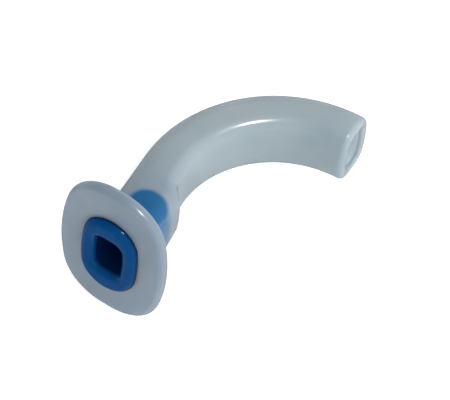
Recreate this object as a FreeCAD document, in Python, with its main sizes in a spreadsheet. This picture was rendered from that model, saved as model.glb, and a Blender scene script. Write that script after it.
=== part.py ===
import FreeCAD, Part
import math
import os
import Sketcher
from FreeCAD import Placement, Rotation, Vector

# Oropharyngeal airway, nominal length 50 mm, in two moulded pieces.
#
# airway_body: soft polyethylene. A flange that stays outside the lips, a swollen bite section behind it,
# and a curved tube with the airway right through it.
# bite_block: a rigid plug pushed into the body from the flange side, with a lip, a hole and a shank.
#
# Both are drawn in the airway's own frame: +X runs through the flange towards the patient, x = 0 is the
# flange's inner face, the tube bends towards -Y, and +Z is across the mouth. The two bodies are then laid
# on their side together, as the airway comes to rest on a table, with the origin under the middle of their
# box.

DIMENSIONS = {
    # Course of the tube
    "nominal_length": (50.0, "flange's inner face to the farthest point of the tube"),
    "bend_radius": (24.6, "radius of the tube's centre line"),
    "bend_angle": (93.1, "degrees that the tube turns"),
    "tube_lean": (6.2, "degrees that the tube leans away from the bend before it turns"),
    "tube_offset": (0.12, "centre of the tube off the flange's centre, at the flange"),
    "tip_straight": (1.2, "straight end after the bend"),
    # Flange
    "flange_width": (22.6, "in the plane of the bend"),
    "flange_height": (32.4, "across the mouth"),
    "flange_thickness": (2.5, "outer face to inner face"),
    "flange_side_crown": (40.0, "radius of the two long sides"),
    "flange_end_crown": (60.0, "radius of the two ends"),
    "flange_corner": (9.6, "radius of the four corners"),
    "flange_rounding": (1.05, "radius round both rims"),
    # Bite section
    "bite_step": (2.1, "how far it stands out beyond the tube on the inside of the bend"),
    "bite_height": (13.3, "across the mouth, at both ends"),
    "bite_swell": (0.3, "how far its middle stands out, but not on the outside of the bend"),
    "bite_corner": (4.0, "radius of its corners"),
    "bite_length": (12.0, "flange's inner face to the shoulder"),
    "shoulder_length": (2.1, "roll from the bite section down to the tube"),
    "root_rounding": (0.8, "fillet between flange and bite section"),
    # Tube
    "tube_width": (9.4, "in the plane of the bend"),
    "tube_height": (13.1, "across the mouth"),
    "tube_crown": (26.0, "radius of its four crowned faces"),
    "tube_back_corner": (4.0, "corners on the outside of the bend"),
    "tube_front_corner": (2.6, "corners on the inside of the bend"),
    "tip_rounding": (1.1, "outer edge of the open tip"),
    "mouth_rounding": (0.5, "inner edge of the open tip"),
    # Airway through the tube
    "wall_front": (2.0, "wall on the inside and on the outside of the bend"),
    "wall_side": (1.8, "wall on the two flanks"),
    "lumen_corner": (2.0, "corners of the airway's section"),
    # Bite block
    "lip_width": (12.0, "in the plane of the bend"),
    "lip_height": (18.5, "across the mouth"),
    "lip_proud": (1.5, "how far the lip stands on the flange"),
    "lip_crown": (39.0, "radius of the lip's crowned sides"),
    "lip_corner": (5.75, "radius of the lip's corners"),
    "lip_rounding": (1.35, "outer front edge of the lip"),
    "inlet_rounding": (1.35, "roll from the front of the lip into the hole"),
    "shank_width": (7.9, "in the plane of the bend"),
    "shank_height": (11.2, "across the mouth"),
    "shank_reach": (9.9, "flange's inner face to the end of the shank"),
    "shank_wall": (1.0, "wall of the shank"),
    "shank_corner": (2.65, "outer corners of the shank"),
    "shank_lead": (0.4, "chamfer round the end of the shank"),
    "fit_clearance": (0.05, "gap all round the shank in its socket"),
    # Lie on a table
    "rest_roll": (-22.0, "degrees about X, from the flat lie on the flank"),
    "rest_pitch": (15.9, "degrees about Y, after the roll"),
}

TOLERANCE = 0.02

# Largest corner of an outline, as a share of the corner that would make its end half-round
CORNER_SHARE = 0.99

# Largest fillets and chamfers, as shares of the wall that carries them
RIM_SHARE = 0.45
TIP_SHARE = 0.62
MOUTH_SHARE = 0.3
LIP_SHARE = 0.92
BEAD_SHARE = 0.45
LEAD_SHARE = 0.6


class PointOf:
    """Which point of a sketch's line or arc a constraint takes."""

    START, END, CENTRE = range(1, 4)


class Axis:
    """A sketch's own two axes. The start point of the first is the sketch's origin."""

    ALONG_X, ALONG_Y = range(-1, -3, -1)


class Size:
    """A size together with the formula of sheet cells that it comes from."""

    def __init__(self, value, formula):
        self.value = float(value)
        self.formula = formula

    def joined(self, sign, other, value):
        text = other.formula if isinstance(other, Size) else str(other)
        return Size(value, f"({self.formula} {sign} {text})")

    def __add__(self, other):
        return self.joined("+", other, self.value + plain(other))

    def __sub__(self, other):
        return self.joined("-", other, self.value - plain(other))

    def __mul__(self, other):
        return self.joined("*", other, self.value * plain(other))

    def __truediv__(self, other):
        return self.joined("/", other, self.value / plain(other))

    def sine(self):
        return Size(math.sin(math.radians(self.value)), f"sin({self.formula} * 1 deg)")

    def cosine(self):
        return Size(math.cos(math.radians(self.value)), f"cos({self.formula} * 1 deg)")

    def tangent(self):
        return Size(math.tan(math.radians(self.value)), f"tan({self.formula} * 1 deg)")

    def at_most(self, limit):
        return Size(min(self.value, limit.value), f"min({self.formula}; {limit.formula})")


def plain(size):
    """The number of a size, or the number itself."""
    return size.value if isinstance(size, Size) else float(size)


class Sizes:
    """Every driving dimension of the sheet, as an attribute of its own name."""

    def __init__(self, doc):
        self.sheet = doc.addObject("Spreadsheet::Sheet", "Sizes")
        for row, (name, (value, meaning)) in enumerate(DIMENSIONS.items(), start=1):
            self.sheet.set(f"A{row}", name)
            self.sheet.set(f"B{row}", str(value))
            self.sheet.set(f"C{row}", meaning)
            self.sheet.setAlias(f"B{row}", name)
        doc.recompute()
        for name in DIMENSIONS:
            setattr(self, name, Size(getattr(self.sheet, name), f"Sizes.{name}"))


class Outline:
    """A rounded rectangle with crowned sides: eight arcs, each tangent to the next.

    In its sketch, x is the plane of the bend and y is across the mouth. The front is the side towards -x,
    which is the inside of the bend. A corner stays just below the radius that would leave nothing of the
    crowned end.
    """

    def __init__(self, width, height, side_crown, end_crown, front_corner, back_corner):
        self.width = width
        self.height = height
        self.side_crown = side_crown
        self.end_crown = end_crown
        half_round = (width * side_crown - (width * width + height * height) / 4) / (side_crown * 2 - height)
        self.front_corner = front_corner.at_most(half_round * CORNER_SHARE)
        self.back_corner = back_corner.at_most(half_round * CORNER_SHARE)

    def grown(self, gap):
        """The same outline moved out by a gap all round."""
        return Outline(
            self.width + gap * 2,
            self.height + gap * 2,
            self.side_crown + gap,
            self.end_crown + gap,
            self.front_corner + gap,
            self.back_corner + gap,
        )


def corner_centre(half_width, half_height, side_crown, end_crown, corner):
    """Centre of the arc that touches a crowned side and a crowned end from inside, in the +x +y corner."""
    to_side = side_crown - corner
    to_end = end_crown - corner
    side = Vector(half_width - side_crown, 0, 0)
    end = Vector(0, half_height - end_crown, 0)
    apart = end - side
    distance = apart.Length
    along = (to_side**2 - to_end**2 + distance**2) / (2 * distance)
    across = math.sqrt(to_side**2 - along**2)
    apart.normalize()
    foot = side + apart * along
    square = Vector(-apart.y, apart.x, 0) * across
    return max((foot + square, foot - square), key=lambda point: point.x + point.y)


def add_arc(sketch, centre, radius, start, end):
    """Arc of a circle in a sketch, anticlockwise from one angle to another."""
    circle = Part.Circle(centre, Vector(0, 0, 1), radius)
    return sketch.addGeometry(Part.ArcOfCircle(circle, start, end), False)


def bind(sketch, kind, elements, size):
    """Add a dimension to a sketch and tie it to the sheet."""
    index = sketch.addConstraint(Sketcher.Constraint(kind, *elements, size.value))
    sketch.setExpression(f"Constraints[{index}]", size.formula)


def draw_outline(sketch, outline):
    """Draw a crowned outline round a sketch's origin and constrain it fully."""
    half_width = outline.width.value / 2
    half_height = outline.height.value / 2
    side_crown = outline.side_crown.value
    end_crown = outline.end_crown.value
    end_centre_y = half_height - end_crown

    # First angle of each corner arc on the back (+x) and front (-x) sides, measured from their own side
    corners = {}
    for sign, corner in ((1, outline.back_corner.value), (-1, outline.front_corner.value)):
        centre = corner_centre(half_width, half_height, side_crown, end_crown, corner)
        low = math.atan2(centre.y, centre.x - (half_width - side_crown))
        high = math.atan2(centre.y - end_centre_y, centre.x)
        corners[sign] = (centre, corner, low, high)
    back, back_radius, back_low, back_high = corners[1]
    front, front_radius, front_low, front_high = corners[-1]
    half_turn = math.pi

    side_x = half_width - side_crown
    back_side = add_arc(sketch, Vector(side_x, 0, 0), side_crown, -back_low, back_low)
    back_top = add_arc(sketch, back, back_radius, back_low, back_high)
    top = add_arc(sketch, Vector(0, end_centre_y, 0), end_crown, back_high, half_turn - front_high)
    front_top = add_arc(
        sketch, Vector(-front.x, front.y, 0), front_radius, half_turn - front_high, half_turn - front_low
    )
    front_side = add_arc(
        sketch, Vector(-side_x, 0, 0), side_crown, half_turn - front_low, half_turn + front_low
    )
    front_bottom = add_arc(
        sketch, Vector(-front.x, -front.y, 0), front_radius, half_turn + front_low, half_turn + front_high
    )
    bottom = add_arc(
        sketch, Vector(0, -end_centre_y, 0), end_crown, half_turn + front_high, 2 * half_turn - back_high
    )
    back_bottom = add_arc(
        sketch, Vector(back.x, -back.y, 0), back_radius, 2 * half_turn - back_high, 2 * half_turn - back_low
    )
    loop = [back_side, back_top, top, front_top, front_side, front_bottom, bottom, back_bottom]
    for arc, following in zip(loop, loop[1:] + loop[:1]):
        sketch.addConstraint(Sketcher.Constraint("Tangent", arc, PointOf.END, following, PointOf.START))

    # Crowned faces stay centred on the two axes
    for arc in (back_side, front_side):
        sketch.addConstraint(Sketcher.Constraint("PointOnObject", arc, PointOf.CENTRE, Axis.ALONG_X))
    for arc in (top, bottom):
        sketch.addConstraint(Sketcher.Constraint("PointOnObject", arc, PointOf.CENTRE, Axis.ALONG_Y))

    # Four points where the outline crosses its axes carry its width and height
    crossings = {}
    for arc, x, y in (
        (back_side, half_width, 0),
        (front_side, -half_width, 0),
        (top, 0, half_height),
        (bottom, 0, -half_height),
    ):
        crossings[arc] = sketch.addGeometry(Part.Point(Vector(x, y, 0)), True)
        sketch.addConstraint(Sketcher.Constraint("PointOnObject", crossings[arc], PointOf.START, arc))
    origin = (Axis.ALONG_X, PointOf.START)
    axis_of = {back_side: Axis.ALONG_X, top: Axis.ALONG_Y}
    for arc, axis in axis_of.items():
        sketch.addConstraint(Sketcher.Constraint("PointOnObject", crossings[arc], PointOf.START, axis))
    for arc, opposite in ((back_side, front_side), (top, bottom)):
        pair = (crossings[arc], PointOf.START, crossings[opposite], PointOf.START)
        sketch.addConstraint(Sketcher.Constraint("Symmetric", *pair, *origin))
    bind(sketch, "DistanceX", (*origin, crossings[back_side], PointOf.START), outline.width / 2)
    bind(sketch, "DistanceY", (*origin, crossings[top], PointOf.START), outline.height / 2)

    radii = (
        ((back_side, front_side), outline.side_crown),
        ((top, bottom), outline.end_crown),
        ((back_top, back_bottom), outline.back_corner),
        ((front_top, front_bottom), outline.front_corner),
    )
    for (first, second), radius in radii:
        bind(sketch, "Radius", (first,), radius)
        sketch.addConstraint(Sketcher.Constraint("Equal", first, second))


def origin_plane(body, role):
    """One of a body's own three origin planes."""
    return next(item for item in body.Origin.OriginFeatures if item.Role == role)


def new_sketch(body, label, role):
    """Empty sketch on an origin plane of its body."""
    sketch = body.newObject("Sketcher::SketchObject", label)
    sketch.AttachmentSupport = [(origin_plane(body, role), "")]
    sketch.MapMode = "FlatFace"
    return sketch


def section_sketch(body, label, outline, station, centre=None, turn=None):
    """Outline across the flange's axis, at a station along X, moved to a centre in Y and turned about Z.

    The sketch's own x, y and z are the airway's Y, Z and X.
    """
    sketch = new_sketch(body, label, "YZ_Plane")
    draw_outline(sketch, outline)
    offset = Vector(plain(centre) if centre else 0, 0, plain(station))
    angle = plain(turn) if turn else 0
    sketch.AttachmentOffset = Placement(offset, Rotation(Vector(0, 1, 0), angle))
    sketch.setExpression("AttachmentOffset.Base.z", station.formula)
    if centre:
        sketch.setExpression("AttachmentOffset.Base.x", centre.formula)
    if turn:
        sketch.setExpression("AttachmentOffset.Rotation.Angle", turn.formula)
    return sketch


def edges_where(feature, test):
    """Names of a feature's edges whose every vertex and middle point pass a test."""
    names = []
    for number, edge in enumerate(feature.Shape.Edges, start=1):
        points = [vertex.Point for vertex in edge.Vertexes]
        middle = (edge.FirstParameter + edge.LastParameter) / 2
        points.append(edge.valueAt(middle))
        if all(test(point) for point in points):
            names.append(f"Edge{number}")
    return names


def add_dress_up(body, kind, label, base, edges, size):
    """Fillet or chamfer on edges of the last feature."""
    if not edges:
        raise RuntimeError(f"{label}: no edge found")
    feature = body.newObject(f"PartDesign::{kind}", label)
    feature.Base = (base, edges)
    cell = "Radius" if kind == "Fillet" else "Size"
    setattr(feature, cell, size.value)
    feature.setExpression(cell, size.formula)
    body.Document.recompute()
    return feature


def add_loft(body, kind, label, sections, ruled):
    """Additive or subtractive loft through sketches in order."""
    loft = body.newObject(f"PartDesign::{kind}Loft", label)
    loft.Profile = sections[0]
    loft.Sections = sections[1:]
    loft.Ruled = ruled
    for sketch in sections:
        sketch.Visibility = False
    body.Document.recompute()
    return loft


def add_extrusion(body, kind, label, sketch, length, towards_patient):
    """Pad or pocket of a sketch by a length."""
    feature = body.newObject(f"PartDesign::{kind}", label)
    feature.Profile = sketch
    feature.Length = length.value
    feature.setExpression("Length", length.formula)
    feature.Reversed = not towards_patient if kind == "Pad" else towards_patient
    body.Document.recompute()
    return feature


class Course:
    """Centre line of the tube: a leaning straight, one bend and a short straight end."""

    def __init__(self, size):
        self.size = size
        self.end_angle = size.bend_angle - size.tube_lean
        outer_radius = size.bend_radius + size.tube_width / 2
        self.bend_start = (
            size.nominal_length
            - size.bend_radius * size.tube_lean.sine()
            - outer_radius * self.end_angle.sine()
            - size.tip_straight * self.end_angle.cosine()
        )

    def centre_at(self, station):
        """Y of the centre line at a station on the leaning straight."""
        return self.size.tube_offset + station * self.size.tube_lean.tangent()

    def tip(self):
        """End of the centre line and its unit direction there."""
        size = self.size
        lean = math.radians(size.tube_lean.value)
        end = math.radians(self.end_angle.value)
        start = Vector(self.bend_start.value, self.centre_at(self.bend_start).value, 0)
        centre = start + Vector(math.sin(lean), -math.cos(lean), 0) * size.bend_radius.value
        direction = Vector(math.cos(end), -math.sin(end), 0)
        bend_end = centre + Vector(math.sin(end), math.cos(end), 0) * size.bend_radius.value
        return bend_end + direction * size.tip_straight.value, direction

    def draw(self, body, label, first_station, overrun):
        """Sketch of the centre line from a station on the leaning straight to just past the tip."""
        size = self.size
        sketch = new_sketch(body, label, "XY_Plane")
        lean = math.radians(size.tube_lean.value)
        end = math.radians(self.end_angle.value)
        quarter_turn = math.pi / 2
        radius = size.bend_radius.value
        begin = Vector(first_station.value, self.centre_at(first_station).value, 0)
        start = Vector(self.bend_start.value, self.centre_at(self.bend_start).value, 0)
        centre = start + Vector(math.sin(lean), -math.cos(lean), 0) * radius
        tip, direction = self.tip()
        bend_end = tip - direction * size.tip_straight.value
        straight = sketch.addGeometry(Part.LineSegment(begin, start), False)
        bend = add_arc(sketch, centre, radius, quarter_turn - end, quarter_turn + lean)
        last = sketch.addGeometry(Part.LineSegment(bend_end, tip + direction * plain(overrun)), False)
        first_joint = (straight, PointOf.END, bend, PointOf.END)
        last_joint = (bend, PointOf.START, last, PointOf.START)
        for joint in (first_joint, last_joint):
            sketch.addConstraint(Sketcher.Constraint("Tangent", *joint))
        for point, station in ((PointOf.START, first_station), (PointOf.END, self.bend_start)):
            ends = (Axis.ALONG_X, PointOf.START, straight, point)
            bind(sketch, "DistanceX", ends, station)
            bind(sketch, "DistanceY", ends, self.centre_at(station))
        bend_ends = (bend, PointOf.CENTRE, bend, PointOf.START)
        bind(sketch, "Radius", (bend,), size.bend_radius)
        bind(sketch, "DistanceY", bend_ends, size.bend_radius * self.end_angle.cosine())
        bind(sketch, "Distance", (last,), size.tip_straight + overrun)
        return sketch


def tube_outline(size):
    """Outside of the tube."""
    return Outline(
        size.tube_width,
        size.tube_height,
        size.tube_crown,
        size.tube_crown,
        size.tube_front_corner,
        size.tube_back_corner,
    )


def lumen_outline(size):
    """Airway through the tube."""
    return Outline(
        size.tube_width - size.wall_front * 2,
        size.tube_height - size.wall_side * 2,
        size.tube_crown - size.wall_front,
        size.tube_crown - size.wall_side,
        size.lumen_corner,
        size.lumen_corner,
    )


def bite_outline(size):
    """Outside of the bite section at its two ends, where its back is flush with the tube's."""
    return Outline(
        size.tube_width + size.bite_step,
        size.bite_height,
        size.tube_crown,
        size.tube_crown,
        size.bite_corner,
        size.bite_corner,
    )


def bite_sections(body, size, course):
    """Outlines of the bite section at the flange, in its middle and at the shoulder."""
    ends = bite_outline(size)
    middle = ends.grown(size.bite_swell / 2)
    middle.height = ends.height + size.bite_swell * 2
    off_centre = size.bite_step / 2
    stations = (
        (size.bite_length * 0, ends, off_centre),
        (size.bite_length / 2, middle, off_centre + size.bite_swell / 2),
        (size.bite_length, ends, off_centre),
    )
    return [
        section_sketch(body, f"bite_outline_{number}", outline, station, course.centre_at(station) - offset)
        for number, (station, outline, offset) in enumerate(stations, start=1)
    ]


def shank_outline(size):
    """Outside of the bite block's shank."""
    return Outline(
        size.shank_width,
        size.shank_height,
        size.tube_crown,
        size.tube_crown,
        size.shank_corner,
        size.shank_corner,
    )


def hole_outline(size):
    """Straight hole through the bite block."""
    return shank_outline(size).grown(size.shank_wall * -1)


def build_airway_body(doc, size):
    """Flange, bite section and curved tube in one moulding."""
    body = doc.addObject("PartDesign::Body", "airway_body")
    body.Label = "airway_body"
    course = Course(size)
    inner_face = size.flange_thickness * 0
    outer_face = size.flange_thickness * -1

    def on_flange_face(point):
        return min(abs(point.x - inner_face.value), abs(point.x - outer_face.value)) < TOLERANCE

    flange_outline = Outline(
        size.flange_width,
        size.flange_height,
        size.flange_side_crown,
        size.flange_end_crown,
        size.flange_corner,
        size.flange_corner,
    )
    flange_sketch = section_sketch(body, "flange_outline", flange_outline, outer_face)
    flange = add_extrusion(body, "Pad", "flange", flange_sketch, size.flange_thickness, True)
    rim_edges = edges_where(flange, on_flange_face)
    rim_limit = size.flange_thickness * RIM_SHARE
    add_dress_up(body, "Fillet", "flange_rims", flange, rim_edges, size.flange_rounding.at_most(rim_limit))

    # Bite section: one smooth loft that ends in the shoulder down to the tube
    sections = bite_sections(body, size, course)
    shoulder_end = size.bite_length + size.shoulder_length
    tube_centre = course.centre_at(shoulder_end)
    shoulder_foot = section_sketch(
        body, "shoulder_foot", tube_outline(size), shoulder_end, tube_centre, size.tube_lean
    )
    add_loft(body, "Additive", "bite_section", [*sections, shoulder_foot], False)

    # Tube: one section carried along its course from the foot of the shoulder
    tube_section = section_sketch(
        body, "tube_outline", tube_outline(size), shoulder_end, tube_centre, size.tube_lean
    )
    tube_course = course.draw(body, "tube_course", shoulder_end, size.tip_straight * 0)
    tube = add_pipe(body, "Additive", "tube", tube_section, tube_course)

    def on_root(point):
        near_axis = abs(point.y) < size.flange_width.value * 0.4 and abs(point.z) < size.bite_height.value
        return near_axis and abs(point.x - inner_face.value) < TOLERANCE

    add_dress_up(body, "Fillet", "root_fillet", tube, edges_where(tube, on_root), size.root_rounding)

    # Socket of the bite block, then the airway from the bottom of the socket out through the tip
    socket_outline = shank_outline(size).grown(size.fit_clearance)
    socket_sketch = section_sketch(body, "socket_outline", socket_outline, outer_face)
    socket_bottom = size.shank_reach + size.fit_clearance
    add_extrusion(body, "Pocket", "socket", socket_sketch, size.flange_thickness + socket_bottom, True)
    lumen_section = section_sketch(
        body, "lumen_outline", lumen_outline(size), socket_bottom, course.centre_at(socket_bottom), size.tube_lean
    )
    lumen_course = course.draw(body, "lumen_course", socket_bottom, size.tip_straight)
    lumen = add_pipe(body, "Subtractive", "lumen", lumen_section, lumen_course)

    # Round the open tip, outside and inside
    tip, direction = course.tip()
    across = Vector(-direction.y, direction.x, 0)
    lumen_reach = lumen_outline(size).width.value / 2 + TOLERANCE
    lumen_side = lumen_outline(size).height.value / 2 + TOLERANCE

    def on_tip(point):
        return abs((point - tip).dot(direction)) < TOLERANCE

    def on_mouth(point):
        inside = abs((point - tip).dot(across)) < lumen_reach and abs(point.z) < lumen_side
        return on_tip(point) and inside

    mouth_edges = edges_where(lumen, on_mouth)
    outer_edges = [name for name in edges_where(lumen, on_tip) if name not in mouth_edges]
    tip_limit = size.wall_side * TIP_SHARE
    tip_edge = add_dress_up(body, "Fillet", "tip_edge", lumen, outer_edges, size.tip_rounding.at_most(tip_limit))
    mouth_limit = size.wall_side * MOUTH_SHARE
    mouth_edges = edges_where(tip_edge, on_mouth)
    add_dress_up(body, "Fillet", "mouth_edge", tip_edge, mouth_edges, size.mouth_rounding.at_most(mouth_limit))
    return body


def build_bite_block(doc, size):
    """Rigid plug: lip on the flange, with a hole right through to the end of the shank."""
    body = doc.addObject("PartDesign::Body", "bite_block")
    body.Label = "bite_block"
    flange_face = size.flange_thickness * -1
    lip_front = flange_face - size.lip_proud
    shank_length = size.flange_thickness + size.shank_reach

    def on_lip_front(point):
        return abs(point.x - lip_front.value) < TOLERANCE

    lip_outline = Outline(
        size.lip_width,
        size.lip_height,
        size.lip_crown,
        size.lip_crown,
        size.lip_corner,
        size.lip_corner,
    )
    lip_sketch = section_sketch(body, "lip_outline", lip_outline, flange_face)
    lip = add_extrusion(body, "Pad", "lip", lip_sketch, size.lip_proud, False)
    lip_limit = size.lip_proud * LIP_SHARE
    bead_limit = (size.lip_width - hole_outline(size).width) / 2 * BEAD_SHARE
    front_edges = edges_where(lip, on_lip_front)
    outer_rounding = size.lip_rounding.at_most(lip_limit).at_most(bead_limit)
    add_dress_up(body, "Fillet", "lip_edge", lip, front_edges, outer_rounding)

    shank_sketch = section_sketch(body, "shank_outline", shank_outline(size), flange_face)
    shank = add_extrusion(body, "Pad", "shank", shank_sketch, shank_length, True)
    end_edges = edges_where(shank, lambda point: abs(point.x - size.shank_reach.value) < TOLERANCE)
    lead_limit = size.shank_wall * LEAD_SHARE
    add_dress_up(body, "Chamfer", "shank_lead", shank, end_edges, size.shank_lead.at_most(lead_limit))

    # Hole right through, and the roll into it, which leaves the lip as a bead round the hole
    hole = hole_outline(size)
    hole_sketch = section_sketch(body, "hole_outline", hole, lip_front)
    pocket = add_extrusion(body, "Pocket", "hole", hole_sketch, size.lip_proud + shank_length, True)
    hole_half_width = hole.width.value / 2 + TOLERANCE
    hole_half_height = hole.height.value / 2 + TOLERANCE

    def on_inlet(point):
        return on_lip_front(point) and abs(point.y) < hole_half_width and abs(point.z) < hole_half_height

    inlet_edges = edges_where(pocket, on_inlet)
    inlet_rounding = size.inlet_rounding.at_most(bead_limit)
    add_dress_up(body, "Fillet", "inlet", pocket, inlet_edges, inlet_rounding)
    return body


def lay_down(bodies, size):
    """Lay the bodies on their side together, with the origin under the middle of their box.

    The turn about X (roll) comes first and the turn about Y (pitch) second. They put the centre of mass at
    its lowest, with the rim of the flange and the flank of the tube on the table.
    """
    pitch = Rotation(Vector(0, 1, 0), size.rest_pitch.value)
    rotation = pitch * Rotation(Vector(1, 0, 0), size.rest_roll.value)
    for body in bodies:
        body.Placement = Placement(Vector(), rotation)
    box = FreeCAD.BoundBox()
    for body in bodies:
        box.add(body.Shape.optimalBoundingBox(False, False))
    to_origin = Vector(-box.Center.x, -box.Center.y, -box.ZMin)
    for body in bodies:
        body.Placement = Placement(to_origin, rotation)


def add_pipe(body, kind, label, profile, path):
    """Additive or subtractive sweep of a section along the whole of a path sketch."""
    pipe = body.newObject(f"PartDesign::{kind}Pipe", label)
    pipe.Profile = profile
    pipe.Spine = (path, [f"Edge{number}" for number in range(1, len(path.Shape.Edges) + 1)])
    body.Document.recompute()
    return pipe


def check_document(doc, bodies):
    """Stop where any object failed to compute or a body's shape is not sound."""
    for item in doc.Objects:
        if "Invalid" in item.State or "Error" in item.State:
            raise RuntimeError(f"{item.Label}: {item.State}")
    for body in bodies:
        if body.Shape.isNull() or not body.Shape.isValid():
            raise RuntimeError(f"{body.Label}: shape is not valid")


def main():
    """Build both pieces, lay them down and write each to parts/."""
    doc = FreeCAD.newDocument("airway")
    size = Sizes(doc)
    bodies = [build_airway_body(doc, size), build_bite_block(doc, size)]
    doc.recompute()
    check_document(doc, bodies)
    lay_down(bodies, size)
    doc.recompute()
    check_document(doc, bodies)
    os.makedirs("parts", exist_ok=True)
    for body in bodies:
        body.Shape.exportStep(f"parts/{body.Label}.step")


main()
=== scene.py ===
"""Visual model of an oropharyngeal airway that lies on its side on a pale table.

Two smooth closed skins, worked out with numpy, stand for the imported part's two mouldings: a body of milky
clear polyethylene and a bite block of royal blue polypropylene.
"""

import logging
import math
from dataclasses import dataclass, replace
from enum import Enum

import bpy
import numpy as np
from mathutils import Matrix, Vector


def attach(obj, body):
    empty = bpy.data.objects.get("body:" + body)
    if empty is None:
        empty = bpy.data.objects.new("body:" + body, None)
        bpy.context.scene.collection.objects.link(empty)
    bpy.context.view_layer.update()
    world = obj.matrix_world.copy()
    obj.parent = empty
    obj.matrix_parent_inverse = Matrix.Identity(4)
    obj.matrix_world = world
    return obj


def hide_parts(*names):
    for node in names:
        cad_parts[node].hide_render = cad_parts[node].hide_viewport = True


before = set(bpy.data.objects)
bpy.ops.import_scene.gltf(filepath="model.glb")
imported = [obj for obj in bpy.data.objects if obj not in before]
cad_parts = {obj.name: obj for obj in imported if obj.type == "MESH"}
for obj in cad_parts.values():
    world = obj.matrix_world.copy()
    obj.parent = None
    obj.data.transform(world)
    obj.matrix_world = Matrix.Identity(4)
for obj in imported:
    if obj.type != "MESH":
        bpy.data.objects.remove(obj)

log = logging.getLogger("airway")

MM = 0.001
Colour = tuple[float, float, float]
Direction = tuple[float, float, float]

# The airway's own +X, from the flange towards the patient.
PATIENT = np.array([1.0, 0.0, 0.0])


class Slot(Enum):
    """Material slots of the record."""

    MILKY = "milky_polyethylene"
    BLUE = "blue_polypropylene"


class Glide(Enum):
    """How a value runs from one end of a stretch to the other."""

    EVEN = "even"
    EASED = "eased"


def glide(count: int, kind: Glide = Glide.EVEN) -> np.ndarray:
    """Shares from 0 to 1.

    Formula: t for an even run, and 3 t squared minus 2 t cubed for an eased one.

    Args:
        count: How many shares.
        kind: Even or eased.

    Returns:
        Array of count shares.
    """
    share = np.linspace(0.0, 1.0, count)
    return share if kind is Glide.EVEN else share * share * (3.0 - 2.0 * share)


@dataclass(frozen=True)
class Outline:
    """Rounded rectangle with crowned sides, in millimetres.

    Its own x axis lies in the plane of the bend and its y axis runs across the mouth. The front is the side
    towards -x, which is the inside of the bend.
    """

    width: float
    height: float
    side_crown: float
    end_crown: float
    front_corner: float
    back_corner: float

    def grown(self, gap: float) -> "Outline":
        """The same outline moved out by a gap all round."""
        return Outline(
            self.width + 2 * gap,
            self.height + 2 * gap,
            self.side_crown + gap,
            self.end_crown + gap,
            self.front_corner + gap,
            self.back_corner + gap,
        )

    def _corner(self, radius: float) -> tuple[float, float, float, float]:
        """Corner arc that touches a crowned side and a crowned end from inside, in the +x +y corner.

        Args:
            radius: Radius of the corner.

        Returns:
            Centre x, centre y, and the normal's angle at the arc's two ends.
        """
        side = np.array([self.width / 2 - self.side_crown, 0.0])
        end = np.array([0.0, self.height / 2 - self.end_crown])
        to_side = self.side_crown - radius
        to_end = self.end_crown - radius
        apart = end - side
        distance = float(np.hypot(*apart))
        along = (to_side**2 - to_end**2 + distance**2) / (2 * distance)
        across = math.sqrt(to_side**2 - along**2)
        ahead = apart / distance
        square = np.array([-ahead[1], ahead[0]])
        centre = max(
            (side + ahead * along + square * across, side + ahead * along - square * across), key=np.sum
        )
        low = math.atan2(centre[1], centre[0] - side[0])
        high = math.atan2(centre[1] - end[1], centre[0])
        return float(centre[0]), float(centre[1]), low, high

    def points(self, angles: np.ndarray) -> np.ndarray:
        """Points of the outline whose outward normals have these angles.

        Formula: the centre of the arc that holds the normal plus the arc's radius times the normal. The arc
        is the side's crown below the corner's first angle, the end's crown above its last, and the corner's
        between them. The four quarters are mirror images, apart from the corner's radius.

        Args:
            angles: Angles of the outward normals, in radians.

        Returns:
            Array of n points by 2.
        """
        normal = np.stack([np.cos(angles), np.sin(angles)], axis=-1)
        quarter = np.arctan2(np.abs(normal[:, 1]), np.abs(normal[:, 0]))
        centre = np.zeros_like(normal)
        radius = np.zeros_like(quarter)
        sides = (normal[:, 0] >= 0, self.back_corner), (normal[:, 0] < 0, self.front_corner)
        for at_side, corner in sides:
            x, y, low, high = self._corner(corner)
            bounds = [quarter < low, quarter > high]
            centre_x = np.select(bounds, [self.width / 2 - self.side_crown, 0.0], x)
            centre_y = np.select(bounds, [0.0, self.height / 2 - self.end_crown], y)
            arc = np.select(bounds, [self.side_crown, self.end_crown], corner)
            centre = np.where(at_side[:, None], np.stack([centre_x, centre_y], axis=-1), centre)
            radius = np.where(at_side, arc, radius)
        return np.where(normal < 0, -1.0, 1.0) * centre + radius[:, None] * normal


@dataclass(frozen=True)
class Rings:
    """Points round an outline, and the normals there, for every ring of every skin."""

    count: int = 224
    fine_steps: int = 7200

    def angles(self, guide: Outline) -> np.ndarray:
        """Angles of the normals, spread half by the guide's length and half by its turn.

        Formula: the running sum of each small step's share of the length plus its share of the turn, read
        back at even steps.

        Args:
            guide: Outline that the points are spread round.

        Returns:
            Array of angles in radians, one for each point of a ring.
        """
        fine = np.linspace(0.0, 2 * math.pi, self.fine_steps + 1)
        points = guide.points(fine)
        length = np.concatenate([[0.0], np.cumsum(np.hypot(*np.diff(points, axis=0).T))])
        share = length / length[-1] + fine / fine[-1]
        return np.interp(np.arange(self.count) * 2.0 / self.count, share, fine)


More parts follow.
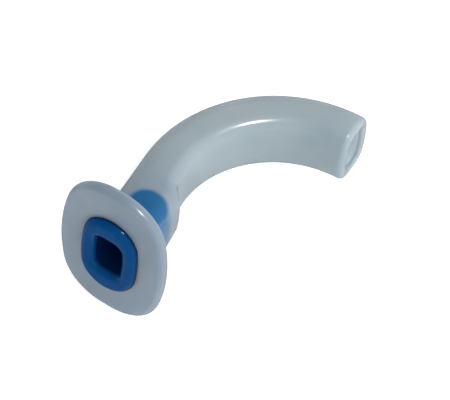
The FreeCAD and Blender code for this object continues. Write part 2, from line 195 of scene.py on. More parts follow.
def rings_at(
    points: np.ndarray, x: np.ndarray | float, y: np.ndarray | float, heading: np.ndarray | float
) -> np.ndarray:
    """Stand outlines up across a centre line.

    Formula: centre plus the outline's x times the heading's left-hand side plus the outline's y times +Z.

    Args:
        points: Outline points, k rings by n by 2, or n by 2 for the same outline in every ring.
        x: Centres' x, one for each ring or one for all.
        y: Centres' y, one for each ring or one for all.
        heading: Angles of the centre line from +X, in radians, one for each ring or one for all.

    Returns:
        Array of k rings by n points by 3.
    """
    values = (np.atleast_1d(np.asarray(value, float)) for value in (x, y, heading))
    x, y, heading = np.broadcast_arrays(*values)
    points = np.broadcast_to(points, (len(x), *points.shape[-2:]))
    left = np.stack([-np.sin(heading), np.cos(heading), np.zeros_like(heading)], axis=-1)
    centre = np.stack([x, y, np.zeros_like(x)], axis=-1)
    rings = centre[:, None] + points[:, :, :1] * left[:, None]
    rings[:, :, 2] += points[:, :, 1]
    return rings


def ring_at(points: np.ndarray, x: float, y: float = 0.0, heading: float = 0.0) -> np.ndarray:
    """One ring of outline points across a centre line, n by 3."""
    return rings_at(points, x, y, heading)[0]


def outward_at(angles: np.ndarray, heading: float) -> np.ndarray:
    """Outward normals of an outline that stands across a heading, n by 3."""
    left = np.array([-math.sin(heading), math.cos(heading), 0.0])
    return np.cos(angles)[:, None] * left + np.sin(angles)[:, None] * np.array([0.0, 0.0, 1.0])


def rounded_edge(
    corner: np.ndarray, back: np.ndarray, on: np.ndarray, radius: float, steps: int
) -> np.ndarray:
    """Round an edge between two faces.

    Formula: a quadratic curve with its middle point on the edge, whose middle weight is the sine of half the
    angle between the faces, which makes it a circle's arc. It starts and ends where the arc touches: the
    radius over the tangent of that half angle.

    Args:
        corner: Sharp edge, n points by 3.
        back: Directions in the face before the edge, away from it, n by 3 or one for all.
        on: Directions in the face after the edge, away from it, n by 3 or one for all.
        radius: Radius of the edge.
        steps: Rings across the arc.

    Returns:
        Array of steps by n by 3.
    """
    half = 0.5 * np.arccos(np.clip(np.sum(back * on, axis=-1), -1.0, 1.0))[:, None]
    reach = radius / np.tan(half)
    start = corner + back * reach
    end = corner + on * reach
    share = glide(steps)[:, None, None]
    weights = (1 - share) ** 2, 2 * share * (1 - share) * np.sin(half), share**2
    total = weights[0] + weights[1] + weights[2]
    return (weights[0] * start + weights[1] * corner + weights[2] * end) / total


def between(first: np.ndarray, last: np.ndarray, count: int) -> np.ndarray:
    """Rings strictly between two rings, spaced evenly along straight lines."""
    share = glide(count + 2)[1:-1, None, None]
    return first + (last - first) * share


def stacked(stretches: list[np.ndarray], least_move: float = 1e-5) -> np.ndarray:
    """Join stretches of rings and drop each ring that repeats the one before it.

    Args:
        stretches: Ring arrays in order round the skin.
        least_move: How far some point has to move, in millimetres, for a ring to count as a new one.

    Returns:
        One array of rings.
    """
    rings = np.concatenate(stretches)
    moved = np.abs(rings - np.roll(rings, 1, axis=0)).max(axis=(1, 2))
    return rings[moved > least_move]


@dataclass(frozen=True)
class Course:
    """Centre line of the tube: a leaning straight, one bend and a short straight end, in millimetres."""

    nominal_length: float = 50.0
    radius: float = 24.6
    turn: float = 93.1
    lean: float = 6.2
    offset: float = 0.12
    tip_straight: float = 1.2
    tube_width: float = 9.4

    @property
    def lean_angle(self) -> float:
        """Lean of the straight part, in radians."""
        return math.radians(self.lean)

    @property
    def bend_start(self) -> float:
        """Station along X where the bend starts, so that the tube just reaches the nominal length."""
        end = math.radians(self.turn - self.lean)
        outer = self.radius + self.tube_width / 2
        straight = self.radius * math.sin(self.lean_angle) + self.tip_straight * math.cos(end)
        return self.nominal_length - outer * math.sin(end) - straight

    @property
    def length(self) -> float:
        """Length of the centre line from x = 0 to the tip."""
        return self.along(self.bend_start) + self.radius * math.radians(self.turn) + self.tip_straight

    def along(self, station: float) -> float:
        """Distance along the leaning straight at a station on X."""
        return station / math.cos(self.lean_angle)

    def centre(self, station: np.ndarray | float) -> np.ndarray | float:
        """Y of the leaning straight at stations on X."""
        return self.offset + station * math.tan(self.lean_angle)

    def at(self, distance: np.ndarray) -> tuple[np.ndarray, np.ndarray, np.ndarray]:
        """Follow the centre line.

        Formula: straight as far as the bend starts, then round a circle whose centre lies a radius to the
        right, then straight on along the last heading.

        Args:
            distance: Distances from x = 0 along the line.

        Returns:
            Arrays of x, y and heading.
        """
        distance = np.asarray(distance, float)
        straight = self.along(self.bend_start)
        arc = self.radius * math.radians(self.turn)
        round_bend = np.clip(distance - straight, 0.0, arc)
        before = np.minimum(distance - straight, 0.0)
        after = np.maximum(distance - straight - arc, 0.0)
        heading = self.lean_angle - round_bend / self.radius
        centre_x = self.bend_start + self.radius * math.sin(self.lean_angle)
        centre_y = self.centre(self.bend_start) - self.radius * math.cos(self.lean_angle)
        x = centre_x - self.radius * np.sin(heading) + (before + after) * np.cos(heading)
        y = centre_y + self.radius * np.cos(heading) + (before + after) * np.sin(heading)
        return x, y, heading


@dataclass(frozen=True)
class Lie:
    """How the airway lies on the table: a roll about X, then a pitch about Y, in degrees."""

    roll: float = -22.0
    pitch: float = 15.9

    def turn(self) -> np.ndarray:
        """Turning matrix from the airway's own frame to the table's, 3 by 3."""
        pitch = Matrix.Rotation(math.radians(self.pitch), 3, "Y")
        roll = Matrix.Rotation(math.radians(self.roll), 3, "X")
        return np.array(pitch @ roll)

    def seat(self, skins: list[np.ndarray]) -> np.ndarray:
        """Shift that puts the table's origin under the middle of the turned skins' box.

        Args:
            skins: Ring arrays in the airway's own frame, in millimetres.

        Returns:
            Shift in millimetres.
        """
        turned = np.concatenate([skin.reshape(-1, 3) @ self.turn().T for skin in skins])
        low, high = turned.min(axis=0), turned.max(axis=0)
        return -np.array([(low[0] + high[0]) / 2, (low[1] + high[1]) / 2, low[2]])

    def laid(self, points: np.ndarray, seat: np.ndarray) -> np.ndarray:
        """Points in the table's frame, in metres.

        Args:
            points: Points in the airway's own frame, in millimetres, with 3 as the last axis.
            seat: Shift from the seat method.

        Returns:
            Array of the same shape.
        """
        return (points @ self.turn().T + seat) * MM


@dataclass(frozen=True)
class Fit:
    """Sizes that both mouldings share where the bite block sits in the body, in millimetres."""

    flange_thickness: float = 2.5
    shank: Outline = Outline(7.9, 11.2, 26.0, 26.0, 2.65, 2.65)
    shank_reach: float = 9.9
    clearance: float = 0.05

    @property
    def socket(self) -> Outline:
        """Outline of the socket, a clearance outside the shank."""
        return self.shank.grown(self.clearance)

    @property
    def socket_depth(self) -> float:
        """Station on X of the socket's foot, a clearance beyond the shank."""
        return self.shank_reach + self.clearance


@dataclass
class Moulding:
    """A piece whose skin is one closed loop of rings."""

    name: str
    slot: Slot
    fit: Fit = Fit()
    rings: Rings = Rings()
    lining_rings: int = 0
    sharp_angle: float = 38.0

    def skin(self) -> np.ndarray:
        """Rings of the whole skin, m by n by 3, in the airway's own frame."""
        raise NotImplementedError

    def build(
        self, skin: np.ndarray, material: bpy.types.Material, lining: bpy.types.Material | None = None
    ) -> bpy.types.Object:
        """Make the mesh of a laid skin, closed both round and along, with smooth faces.

        Args:
            skin: Rings in the table's frame, in metres.
            material: Finish of the piece.
            lining: Finish of the rings inside the piece, which are its last ones. It is a lighter copy of
                the
            outside finish, painted light that comes through the walls.

        Returns:
            The new object, riding on the root body.
        """
        along, around = skin.shape[:2]
        index = np.arange(along * around).reshape(along, around)
        ahead = np.roll(index, -1, axis=0)
        quads = np.stack([index, np.roll(index, -1, axis=1), np.roll(ahead, -1, axis=1), ahead], axis=-1)
        mesh = bpy.data.meshes.new(self.name)
        mesh.from_pydata(skin.reshape(-1, 3).tolist(), [], quads.reshape(-1, 4).tolist())
        mesh.polygons.foreach_set("use_smooth", np.ones(along * around, dtype=bool))
        mesh.set_sharp_from_angle(angle=math.radians(self.sharp_angle))
        mesh.materials.append(material)
        if lining:
            mesh.materials.append(lining)
            inside = np.repeat(np.arange(along) >= along - self.lining_rings, around)
            mesh.polygons.foreach_set("material_index", inside.astype(np.int32))
        mesh.update()
        piece = bpy.data.objects.new(self.name, mesh)
        bpy.context.scene.collection.objects.link(piece)
        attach(piece, "root")
        log.info("%s: %d rings of %d points", self.name, along, around)
        return piece


@dataclass
class BiteBlock(Moulding):
    """Rigid plug with a lip on the flange, a hole right through and a shank, in millimetres."""

    name: str = "bite_block_skin"
    slot: Slot = Slot.BLUE
    lip: Outline = Outline(12.0, 18.5, 39.0, 39.0, 5.75, 5.75)
    lip_proud: float = 1.5
    lip_rounding: float = 1.35
    inlet_rounding: float = 1.35
    shank_wall: float = 1.0
    shank_lead: float = 0.4
    edge_rings: int = 14
    face_rings: int = 3
    side_rings: int = 2
    shank_rings: int = 12
    end_rings: int = 1
    hole_rings: int = 14

    def skin(self) -> np.ndarray:
        """Rings of the plug: lip, shank outside, shank inside and inlet.

        Formula: each stretch is an outline moved straight along X or in its own plane, and each edge is a
        circle's arc between the two faces that meet there.

        Returns:
            Array of m rings by n by 3.
        """
        angles = self.rings.angles(self.fit.shank)
        outward = outward_at(angles, 0.0)
        lip = self.lip.points(angles)
        shank = self.fit.shank.points(angles)
        lead = self.fit.shank.grown(-self.shank_lead).points(angles)
        hole = self.fit.shank.grown(-self.shank_wall).points(angles)
        face = -self.fit.flange_thickness
        front = face - self.lip_proud
        reach = self.fit.shank_reach
        lip_edge = rounded_edge(ring_at(lip, front), -outward, PATIENT, self.lip_rounding, self.edge_rings)
        inlet = rounded_edge(ring_at(hole, front), outward, PATIENT, self.inlet_rounding, self.edge_rings)
        straights = [
            (ring_at(lip, face), ring_at(shank, face), self.face_rings),
            (ring_at(shank, face), ring_at(shank, reach - self.shank_lead), self.shank_rings),
            (ring_at(lead, reach), ring_at(hole, reach), self.end_rings),
            (ring_at(hole, reach), inlet[-1], self.hole_rings),
        ]
        body = [
            np.concatenate([start[None], between(start, end, count), end[None]])
            for start, end, count in straights
        ]
        across_lip = between(inlet[0], lip_edge[0], self.face_rings)
        side = between(lip_edge[-1], ring_at(lip, face), self.side_rings)
        return stacked([lip_edge, side, *body, inlet[::-1], across_lip])


@dataclass
class AirwayBody(Moulding):
    """Flange, bite section and curved tube in one moulding, with the airway through it, in millimetres.

    Its lining is the airway and the socket. The airway's first ring falls away as a repeat of the mouth's
    last one, and the socket's foot adds a ring.
    """

    name: str = "airway_body_skin"
    slot: Slot = Slot.MILKY
    course: Course = Course()
    flange: Outline = Outline(22.6, 32.4, 40.0, 60.0, 9.6, 9.6)
    flange_rounding: float = 1.05
    bite: Outline = Outline(11.5, 13.3, 26.0, 26.0, 4.0, 4.0)
    bite_swell: float = 0.3
    bite_length: float = 11.6
    shoulder_length: float = 2.9
    root_rounding: float = 0.8
    tube: Outline = Outline(Course.tube_width, 13.1, 26.0, 26.0, 2.6, 4.0)
    tip_rounding: float = 1.1
    mouth_rounding: float = 0.5
    front_wall: float = 2.0
    side_wall: float = 1.8
    lumen_corner: float = 2.0
    face_rings: int = 6
    back_rings: int = 5
    rim_rings: int = 11
    small_edge_rings: int = 8
    bite_rings: int = 26
    shoulder_rings: int = 16
    tube_rings: int = 120
    socket_rings: int = 14
    lining_rings: int = tube_rings + socket_rings

    @property
    def bite_offset(self) -> float:
        """How far the bite section stands off the course, so that its back is flush with the tube's."""
        return (self.bite.width - self.tube.width) / 2

    @property
    def lumen(self) -> Outline:
        """Outline of the airway, which leaves the tube its walls."""
        return Outline(
            self.tube.width - 2 * self.front_wall,
            self.tube.height - 2 * self.side_wall,
            self.tube.side_crown - self.front_wall,
            self.tube.end_crown - self.side_wall,
            self.lumen_corner,
            self.lumen_corner,
        )

    def _flange(self, angles: np.ndarray) -> list[np.ndarray]:
        """Stretches from the socket's edge over the flange and its rim to the root of the bite section.

        Args:
            angles: Angles of the outline's normals.

        Returns:
            Ring arrays in order.
        """
        outward = outward_at(angles, 0.0)
        flange = self.flange.points(angles)
        face = -self.fit.flange_thickness
        socket_edge = ring_at(self.fit.socket.points(angles), face)
        root_edge = ring_at(self.bite.points(angles), 0.0, self.course.centre(0.0) - self.bite_offset)
        rim = self.flange_rounding, self.rim_rings
        front_rim = rounded_edge(ring_at(flange, face), -outward, PATIENT, *rim)
        back_rim = rounded_edge(ring_at(flange, 0.0), -PATIENT, -outward, *rim)
        root = rounded_edge(root_edge, outward, PATIENT, self.root_rounding, self.small_edge_rings)
        return [
            socket_edge[None],
            between(socket_edge, front_rim[0], self.face_rings),
            front_rim,
            back_rim,
            between(back_rim[-1], root[0], self.back_rings),
            root,
        ]

    def _bite_section(self, angles: np.ndarray, first: float) -> np.ndarray:
        """Swollen bite section and the shoulder that rolls down to the tube.

        Formula: the bite outline, mixed with its swollen middle by the sine of half a turn over its length,
        and then a mix of bite outline and tube outline, centre and heading whose share runs eased from 0
        to 1. The back stays flush with the tube's back.

        Args:
            angles: Angles of the outline's normals.
            first: Station on X of the first ring.

        Returns:
            Ring array up to the foot of the shoulder.
        """
        bite = self.bite.points(angles)
        tube = self.tube.points(angles)
        half_swell = self.bite_swell / 2
        grown = self.bite.grown(half_swell)
        middle = replace(grown, height=self.bite.height + 2 * self.bite_swell).points(angles)
        section = first + (self.bite_length - first) * glide(self.bite_rings)
        swell = np.sin(np.pi * section / self.bite_length)
        swollen = bite + (middle - bite) * swell[:, None, None]
        centre = self.course.centre(section) - self.bite_offset - half_swell * swell
        rings = rings_at(swollen, section, centre, 0.0)
        share = glide(self.shoulder_rings, Glide.EASED)
        station = self.bite_length + self.shoulder_length * glide(self.shoulder_rings)
        mixed = bite + (tube - bite) * share[:, None, None]
        centre = self.course.centre(station) - self.bite_offset * (1 - share)
        shoulder = rings_at(mixed, station, centre, self.course.lean_angle * share)
        return np.concatenate([rings, shoulder])

    def _carried(self, points: np.ndarray, first: float, last: float) -> np.ndarray:
        """Rings of outline points carried along the course from one distance to another."""
        return rings_at(points, *self.course.at(first + (last - first) * glide(self.tube_rings)))

    def _tip(self, angles: np.ndarray) -> list[np.ndarray]:
        """Rounded rim of the tip, and the rounded edge of the mouth in it.

        Args:
            angles: Angles of the outline's normals.

        Returns:
            Ring arrays in order.
        """
        x, y, heading = (float(value) for value in self.course.at(self.course.length))
        ahead = np.array([math.cos(heading), math.sin(heading), 0.0])
        outward = outward_at(angles, heading)
        tip_ring = ring_at(self.tube.points(angles), x, y, heading)
        mouth_ring = ring_at(self.lumen.points(angles), x, y, heading)
        return [
            rounded_edge(tip_ring, -ahead, -outward, self.tip_rounding, self.rim_rings),
            rounded_edge(mouth_ring, outward, -ahead, self.mouth_rounding, self.small_edge_rings),
        ]

    def _lining(self, angles: np.ndarray) -> list[np.ndarray]:
        """Airway from the mouth back to the socket, and the socket out to the flange's face.

        Args:
            angles: Angles of the outline's normals.

        Returns:
            Ring arrays in order.
        """
        socket = self.fit.socket.points(angles)
        foot = ring_at(socket, self.fit.socket_depth)
        edge = ring_at(socket, -self.fit.flange_thickness)
        mouth = self.course.length - self.mouth_rounding
        airway = self._carried(self.lumen.points(angles), mouth, self.course.along(self.fit.socket_depth))
        return [airway, foot[None], between(foot, edge, self.socket_rings)]

    def skin(self) -> np.ndarray:
        """Rings of the body: flange, bite section, tube, tip, airway and socket.

        Formula: outlines mixed point by point where their normals agree, carried along the course, with a
        circle's arc round every rim.

        Returns:
            Array of m rings by n by 3.
        """
        angles = self.rings.angles(self.tube)
        foot = self.course.along(self.bite_length + self.shoulder_length)
        tube = self._carried(self.tube.points(angles), foot, self.course.length - self.tip_rounding)
        outside = [*self._flange(angles), self._bite_section(angles, self.root_rounding), tube]
        return stacked([*outside, *self._tip(angles), *self._lining(angles)])


class NodePen:
    """Adds nodes to a node tree and joins them."""

    COLUMN_WIDTH = 180

    def __init__(self, tree: bpy.types.NodeTree) -> None:
        """Keep the tree that the nodes go into."""
        self.tree = tree
        self.column = 0

    @classmethod
    def on(cls, owner: bpy.types.Material | bpy.types.World) -> "NodePen":
        """Pen for the emptied node tree of a material or the world."""
        owner.use_nodes = True
        owner.node_tree.nodes.clear()
        return cls(owner.node_tree)

    def add(
        self, kind: str, inputs: dict[str | int, object] | None = None, **settings: object
    ) -> bpy.types.Node:
        """Add a node.

        Args:
            kind: Node type.
            inputs: Value, or output socket, for each input by name or number.
            settings: Properties of the node itself.

        Returns:
            The node.
        """
        node = self.tree.nodes.new(kind)
        node.location = (self.COLUMN_WIDTH * self.column, 0)
        self.column += 1
        for name, value in settings.items():
            setattr(node, name, value)
        for key, value in (inputs or {}).items():
            if isinstance(value, bpy.types.NodeSocket):
                self.tree.links.new(value, node.inputs[key])
            else:
                node.inputs[key].default_value = value
        return node

    def maths(self, operation: str, *values: float | bpy.types.NodeSocket) -> bpy.types.NodeSocket:
        """One step of arithmetic."""
        return self.add("ShaderNodeMath", dict(enumerate(values)), operation=operation).outputs[0]

    def ramp(self, value: bpy.types.NodeSocket, start: float, end: float) -> bpy.types.NodeSocket:
        """Soft step from 0 at the start to 1 at the end."""
        inputs = {"Value": value, "From Min": start, "From Max": end}
        return self.add("ShaderNodeMapRange", inputs, interpolation_type="SMOOTHSTEP").outputs[0]

    def mixed_value(
        self, share: bpy.types.NodeSocket, first: bpy.types.NodeSocket, last: float | bpy.types.NodeSocket
    ) -> bpy.types.NodeSocket:
        """Value between two values."""
        return self.add("ShaderNodeMix", {0: share, 2: first, 3: last}, data_type="FLOAT").outputs[0]

    def mixed_colour(
        self,
        share: bpy.types.NodeSocket,
        first: Colour | bpy.types.NodeSocket,
        last: Colour,
        blend: str = "MIX",
    ) -> bpy.types.NodeSocket:
        """Colour between two colours.

        Args:
            share: How far the second colour comes in.
            first: Colour at a share of 0.
            last: Second colour.
            blend: How the second colour comes in, such as MIX or MULTIPLY.

        Returns:
            Mixed colour.
        """
        start = (*first, 1.0) if isinstance(first, tuple) else first
        inputs = {0: share, 6: start, 7: (*last, 1.0)}
        return self.add("ShaderNodeMix", inputs, data_type="RGBA", blend_type=blend).outputs[2]


class MouldedSkin:
    """Shader group of a moulded plastic surface: slow flow waves, fine grain and clouds in the colour."""

    NAME = "moulded skin"
    INPUTS = {"Flow Scale": 90.0, "Grain Scale": 2600.0, "Flow Share": 0.8}
    CLOUD_FROM = 0.25
    CLOUD_TO = 0.75

    @classmethod
    def group(cls) -> bpy.types.NodeTree:
        """The group, built once.

        Returns:
            Node group with Vector, Flow Scale, Grain Scale, Flow Share in, and Height, Cloud out.
        """
        known = bpy.data.node_groups.get(cls.NAME)
        if known:
            return known
        tree = bpy.data.node_groups.new(cls.NAME, "ShaderNodeTree")
        tree.interface.new_socket("Vector", in_out="INPUT", socket_type="NodeSocketVector")
        for name, value in cls.INPUTS.items():
            socket = tree.interface.new_socket(name, in_out="INPUT", socket_type="NodeSocketFloat")
            socket.default_value = value
        for name in ("Height", "Cloud"):
            tree.interface.new_socket(name, in_out="OUTPUT", socket_type="NodeSocketFloat")
        pen = NodePen(tree)
        given = pen.add("NodeGroupInput").outputs
        flow = pen.add(
            "ShaderNodeTexNoise",
            {"Vector": given["Vector"], "Scale": given["Flow Scale"], "Detail": 2.0, "Roughness": 0.45},
        ).outputs["Fac"]
        grain = pen.add(
            "ShaderNodeTexNoise",
            {"Vector": given["Vector"], "Scale": given["Grain Scale"], "Detail": 1.0, "Roughness": 0.5},
        ).outputs["Fac"]
        height = pen.mixed_value(given["Flow Share"], grain, flow)
        cloud = pen.ramp(flow, cls.CLOUD_FROM, cls.CLOUD_TO)
        pen.add("NodeGroupOutput", {"Height": height, "Cloud": cloud})
        return tree


@dataclass(frozen=True)
class SeenShank:
    """Shader group that tells where the coloured shank shows through the bite section's wall.

    All lengths are in millimetres in the airway's own frame. On the flanks the shank shows in full between
    first and last along X and between front and back along Y. The ghost is its faint look past those sides.
    """

    NAME = "seen shank"

    first: float = 0.6
    last: float = 9.6
    front: float = -5.65
    back: float = 2.0
    corner: float = 3.3
    softness: float = 0.6
    flank_starts: float = 2.6
    flank_full: float = 4.6
    ghost: float = 0.74
    ghost_rise: float = 1.0
    ghost_fade: float = 3.5
    ghost_edge: float = 0.9
    ghost_back: float = 3.9

    def _beyond(
        self, pen: NodePen, value: bpy.types.NodeSocket, low: float, high: float
    ) -> bpy.types.NodeSocket:
        """How far a coordinate lies beyond the straight part of a side, less its rounded corner.

        Args:
            pen: Pen of the group.
            value: The coordinate.
            low: The rectangle's lower side.
            high: The rectangle's upper side.

        Returns:
            Distance, or 0 beside the straight part.
        """
        middle, half = (low + high) / 2, (high - low) / 2 - self.corner
        away = pen.maths("ABSOLUTE", pen.maths("SUBTRACT", value, middle))
        return pen.maths("MAXIMUM", pen.maths("SUBTRACT", away, half), 0.0)

    def group(self) -> bpy.types.NodeTree:
        """The group, with Vector in and Mask out.

        Formula: the distance to a rectangle with rounded corners in the plane of the bend, turned into a
        mask with a soft edge, at full strength on the two flanks. On the other two sides, where the wall is
        thicker, the shank is a ghost that fades towards the tube.

        Returns:
            Node group.
        """
        tree = bpy.data.node_groups.new(self.NAME, "ShaderNodeTree")
        tree.interface.new_socket("Vector", in_out="INPUT", socket_type="NodeSocketVector")
        tree.interface.new_socket("Mask", in_out="OUTPUT", socket_type="NodeSocketFloat")
        pen = NodePen(tree)
        maths, ramp = pen.maths, pen.ramp
        given = pen.add("NodeGroupInput").outputs["Vector"]
        x, y, z = pen.add("ShaderNodeSeparateXYZ", {"Vector": given}).outputs
        over_x = self._beyond(pen, x, self.first, self.last)
        over_y = self._beyond(pen, y, self.front, self.back)
        square = maths("ADD", maths("POWER", over_x, 2.0), maths("POWER", over_y, 2.0))
        apart = maths("SUBTRACT", maths("SQRT", square), self.corner)
        seen = ramp(maths("MULTIPLY", apart, -1.0), -self.softness, self.softness)
        flank = ramp(maths("ABSOLUTE", z), self.flank_starts, self.flank_full)
        fades = ramp(maths("SUBTRACT", self.last, x), 0.0, self.ghost_fade)
        along = maths("MULTIPLY", ramp(x, self.first, self.first + self.ghost_rise), fades)
        below = maths("SUBTRACT", self.front + self.ghost_edge, y)
        above = maths("SUBTRACT", y, self.ghost_back)
        past = ramp(maths("MAXIMUM", below, above), 0.0, self.ghost_edge)
        faint = maths("MULTIPLY", maths("MULTIPLY", along, past), self.ghost)
        pen.add("NodeGroupOutput", {"Mask": maths("MAXIMUM", maths("MULTIPLY", seen, flank), faint)})
        return tree


@dataclass(frozen=True)
class Plastic:
    """Finish of a moulded plastic piece.

    The clouded colour comes in with the clouds of the moulded skin. The painted shade tint comes in along X
    between two stations in millimetres, and the painted edge shade where the surface turns away from the
    eye. Behind is the colour of the piece that shows through the wall. The scatter radius is in millimetres
    for red, green and blue light, and the flow waves are in metres.
    """

    name: str
    colour: Colour
    clouded: Colour
    roughness: float
    rough_spread: float
    refraction: float
    transmission: float
    scatter: float
    scatter_radius: tuple[float, float, float]
    flow_scale: float
    flow_depth: float
    specular: float
    painted_shade_from: float
    painted_shade_to: float
    painted_shade_tint: Colour
    painted_edge_shade: Colour
    edge_shade_from: float = 0.5
    edge_shade_to: float = 1.0
    behind: Colour | None = None

    def _painted(
        self,
        pen: NodePen,
        colour: bpy.types.NodeSocket,
        place: bpy.types.NodeSocket,
        lie: Lie,
        seat: np.ndarray,
    ) -> bpy.types.NodeSocket:
        """Colour that changes with the place in the airway's own frame.

        The painted shade comes in along X, and the piece behind the wall shows through where the mask says.

        Args:
            pen: Pen of the material.
            colour: Colour of the plastic alone.
            place: Object coordinates.
            lie: How the airway lies.
            seat: Shift of the airway's own frame on the table.

        Returns:
            Mixed colour.
        """
        turn = (math.radians(lie.roll), math.radians(lie.pitch), 0.0)
        own = pen.add(
            "ShaderNodeMapping",
            {"Vector": place, "Location": tuple(seat * MM), "Rotation": turn, "Scale": (MM, MM, MM)},
            vector_type="TEXTURE",
        ).outputs[0]
        station = pen.add("ShaderNodeSeparateXYZ", {"Vector": own}).outputs["X"]
        # Painted shade: darker along X, towards the flange on the body and inside the hole of the bite
        # block.
        depth = pen.ramp(station, self.painted_shade_from, self.painted_shade_to)
        shaded = pen.mixed_colour(depth, colour, self.painted_shade_tint, "MULTIPLY")
        if not self.behind:
            return shaded
        mask = pen.add("ShaderNodeGroup", node_tree=SeenShank().group())
        pen.tree.links.new(own, mask.inputs["Vector"])
        return pen.mixed_colour(mask.outputs["Mask"], shaded, self.behind)

    def build(self, lie: Lie, seat: np.ndarray) -> bpy.types.Material:
        """Make the material.

        Args:
            lie: How the airway lies.
            seat: Shift of the airway's own frame on the table.

        Returns:
            Material whose colour clouds, roughness and waves come from the shared group.
        """
        material = bpy.data.materials.new(self.name)
        pen = NodePen.on(material)
        place = pen.add("ShaderNodeTexCoord").outputs["Object"]
        skin = pen.add("ShaderNodeGroup", node_tree=MouldedSkin.group())
        pen.tree.links.new(place, skin.inputs["Vector"])
        skin.inputs["Flow Scale"].default_value = self.flow_scale
        cloud = skin.outputs["Cloud"]
        colour = pen.mixed_colour(cloud, self.colour, self.clouded)
        colour = self._painted(pen, colour, place, lie, seat)
        # Painted shade: the colour darkens where the surface turns away from the eye.
        facing = pen.add("ShaderNodeLayerWeight", {"Blend": 0.5}).outputs["Facing"]
        edge = pen.ramp(facing, self.edge_shade_from, self.edge_shade_to)
        smooth = self.roughness - self.rough_spread
        rough = self.roughness + self.rough_spread
        shine = pen.add("ShaderNodeMapRange", {"Value": cloud, "To Min": smooth, "To Max": rough})
        waves = {"Strength": 1.0, "Distance": self.flow_depth, "Height": skin.outputs["Height"]}
        bump = pen.add("ShaderNodeBump", waves)
        shader = pen.add(
            "ShaderNodeBsdfPrincipled",
            {
                "Base Color": pen.mixed_colour(edge, colour, self.painted_edge_shade, "MULTIPLY"),
                "Roughness": shine.outputs[0],
                "Normal": bump.outputs["Normal"],
                "IOR": self.refraction,
                "Specular IOR Level": self.specular,
                "Transmission Weight": self.transmission,
                "Subsurface Weight": self.scatter,
                "Subsurface Radius": self.scatter_radius,
                "Subsurface Scale": MM,
            },
        )
        pen.add("ShaderNodeOutputMaterial", {"Surface": shader.outputs["BSDF"]})
        return material


@dataclass(frozen=True)
class Camera:
    """The photograph's viewpoint, in the airway's own frame.

    The angles are in degrees, the distance and the sensor in millimetres, the frame and the airway's origin
    in it in pixels, and the nearest and farthest things that it sees in metres.
    """

    elevation: float = 51.745
    azimuth: float = 28.203
    roll: float = 7.423
    pixels_per_mm: float = 5.509
    distance: float = 698.7
    origin_x: float = 118.09
    origin_y: float = 244.76
    frame_width: float = 450.0
    frame_height: float = 400.0
    sensor: float = 36.0
    nearest: float = 0.01
    farthest: float = 10.0

    def build(self, lie: Lie, seat: np.ndarray) -> None:
        """Set the camera up.

        Args:
            lie: How the airway lies.
            seat: Shift of the airway's own frame on the table.
        """
        rise, swing, roll = (math.radians(value) for value in (self.elevation, self.azimuth, self.roll))
        level = np.array([math.sin(swing), -math.cos(swing), 0.0])
        forward = math.cos(rise)
        ahead = np.array([math.cos(swing) * forward, math.sin(swing) * forward, -math.sin(rise)])
        down = np.cross(ahead, level)
        right = math.cos(roll) * level - math.sin(roll) * down
        down = math.sin(roll) * level + math.cos(roll) * down
        offset_x = (self.origin_x - self.frame_width / 2) / self.pixels_per_mm
        offset_y = (self.origin_y - self.frame_height / 2) / self.pixels_per_mm
        eye = -(offset_x * right + offset_y * down + self.distance * ahead)
        place = Matrix.Identity(4)
        turned = lie.turn() @ np.stack([right, -down, -ahead], axis=-1)
        for row in range(3):
            place[row][:3] = turned[row]
        place.translation = lie.laid(eye, seat)
        data = bpy.data.cameras.new("camera")
        data.sensor_width = self.sensor
        data.lens = self.pixels_per_mm * self.distance * self.sensor / self.frame_width
        data.clip_start = self.nearest
        data.clip_end = self.farthest
        camera = bpy.data.objects.new("camera", data)
        bpy.context.scene.collection.objects.link(camera)
        camera.matrix_world = place
        bpy.context.scene.camera = camera


@dataclass(frozen=True)
class Lamp:
    """Square soft lamp that looks at the airway. Its distance and size are in metres, its power in watts."""

    name: str
    towards: Direction
    distance: float
    size: float
    power: float

    def build(self) -> None:
        """Add the lamp. It gives highlights, and the surroundings give the light."""
        data = bpy.data.lights.new(self.name, "AREA")
        data.shape = "SQUARE"
        data.size = self.size
        data.energy = self.power
        lamp = bpy.data.objects.new(self.name, data)
        lamp.visible_diffuse = False
        lamp.visible_transmission = False
        bpy.context.scene.collection.objects.link(lamp)
        direction = Vector(self.towards).normalized()
        lamp.location = direction * self.distance
        lamp.rotation_euler = direction.to_track_quat("Z", "Y").to_euler()
        log.info("lamp %s", self.name)


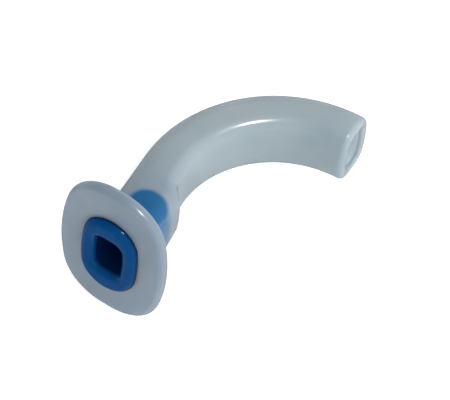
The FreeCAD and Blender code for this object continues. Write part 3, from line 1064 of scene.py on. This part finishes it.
@dataclass(frozen=True)
class Studio:
    """Pale floor, surroundings that get brighter towards one side, and one lamp for the highlights."""

    dim: float = 0.12
    bright: float = 1.72
    bright_side: Direction = (0.30, -0.90, 0.32)
    floor_size: float = 1.6
    floor_tone: float = 0.80
    floor_lift: float = 0.55
    lamps: tuple[Lamp, ...] = (Lamp("over", (0.22, -0.10, 0.97), 0.6, 0.06, 7.0),)

    @staticmethod
    def _background_rays(pen: NodePen) -> bpy.types.NodeSocket:
        """Mask of the rays that see the plain white background."""
        path = pen.add("ShaderNodeLightPath").outputs
        return pen.maths("MAXIMUM", path["Is Camera Ray"], path["Is Transmission Ray"])

    def _world(self) -> None:
        """White surroundings that get brighter towards one side."""
        world = bpy.data.worlds.new("surroundings")
        pen = NodePen.on(world)
        ahead = pen.add("ShaderNodeTexCoord").outputs["Generated"]
        towards = tuple(Vector(self.bright_side).normalized())
        side = pen.add("ShaderNodeVectorMath", {0: ahead, 1: towards}, operation="DOT_PRODUCT")
        level = pen.add(
            "ShaderNodeMapRange",
            {"Value": side.outputs["Value"], "From Min": -1.0, "To Min": self.dim, "To Max": self.bright},
        )
        strength = pen.mixed_value(self._background_rays(pen), level.outputs[0], 1.0)
        light = pen.add("ShaderNodeBackground", {"Color": (1.0, 1.0, 1.0, 1.0), "Strength": strength})
        pen.add("ShaderNodeOutputWorld", {"Surface": light.outputs[0]})
        bpy.context.scene.world = world

    def _floor(self) -> None:
        """White floor that keeps the airway's shadow."""
        material = bpy.data.materials.new("floor")
        pen = NodePen.on(material)
        tone = (self.floor_tone, self.floor_tone, self.floor_tone, 1.0)
        matt = pen.add("ShaderNodeBsdfDiffuse", {"Color": tone})
        lift = pen.maths("MULTIPLY", self._background_rays(pen), self.floor_lift)
        glow = pen.add("ShaderNodeEmission", {"Strength": lift})
        both = pen.add("ShaderNodeAddShader", {0: matt.outputs[0], 1: glow.outputs[0]})
        pen.add("ShaderNodeOutputMaterial", {"Surface": both.outputs[0]})
        half = self.floor_size / 2
        corners = [(-half, -half, 0), (half, -half, 0), (half, half, 0), (-half, half, 0)]
        mesh = bpy.data.meshes.new("floor")
        mesh.from_pydata(corners, [], [(0, 1, 2, 3)])
        mesh.materials.append(material)
        floor = bpy.data.objects.new("floor", mesh)
        bpy.context.scene.collection.objects.link(floor)

    def build(self) -> None:
        """Set the studio up."""
        bpy.context.scene.view_settings.view_transform = "Standard"
        self._world()
        self._floor()
        for lamp in self.lamps:
            lamp.build()
        log.info("studio: %d lamps", len(self.lamps))


MILKY = Plastic(
    name="milky polyethylene",
    colour=(0.468, 0.543, 0.577),
    clouded=(0.40, 0.487, 0.533),
    roughness=0.24,
    rough_spread=0.02,
    refraction=1.51,
    transmission=0.30,
    scatter=1.0,
    scatter_radius=(2.4, 2.7, 3.0),
    flow_scale=90.0,
    flow_depth=0.00001,
    specular=0.09,
    behind=(0.010, 0.168, 0.400),
    # Painted shade: darker towards the flange, and darker at the edges that turn away from the eye.
    painted_shade_from=28.0,
    painted_shade_to=-1.0,
    painted_shade_tint=(0.745, 0.775, 0.855),
    painted_edge_shade=(0.55, 0.58, 0.62),
)
# Painted light: a lighter copy of the milky plastic for the inside, lit through the walls.
LIT_LINING = replace(
    MILKY,
    name="milky polyethylene inside painted lighter",
    colour=(0.74, 0.79, 0.81),
    clouded=(0.71, 0.76, 0.78),
    behind=None,
)
BLUE = Plastic(
    name="blue polypropylene",
    colour=(0.0, 0.054, 0.190),
    clouded=(0.0, 0.062, 0.214),
    roughness=0.11,
    rough_spread=0.02,
    refraction=1.49,
    transmission=0.0,
    scatter=0.1,
    scatter_radius=(0.3, 0.5, 0.9),
    flow_scale=180.0,
    flow_depth=0.00002,
    specular=0.045,
    # Painted shade: darker inside the hole, and darker at the edges that turn away from the eye.
    painted_shade_from=-3.3,
    painted_shade_to=-2.4,
    painted_shade_tint=(0.9, 0.32, 0.45),
    painted_edge_shade=(0.1, 0.2, 0.4),
)


def main() -> None:
    """Build the airway, its studio and its camera."""
    logging.basicConfig(level=logging.INFO, format="%(name)s: %(message)s")
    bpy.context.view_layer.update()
    lie = Lie()
    mouldings = {"airway_body": (AirwayBody(), MILKY), "bite_block": (BiteBlock(), BLUE)}
    skins = {node: moulding.skin() for node, (moulding, _) in mouldings.items()}
    seat = lie.seat(list(skins.values()))
    for node, (moulding, finish) in mouldings.items():
        lining = LIT_LINING.build(lie, seat) if moulding.lining_rings else None
        piece = moulding.build(lie.laid(skins[node], seat), finish.build(lie, seat), lining)
        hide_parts(node)
    Studio().build()
    Camera().build(lie, seat)


if __name__ == "__main__":
    main()
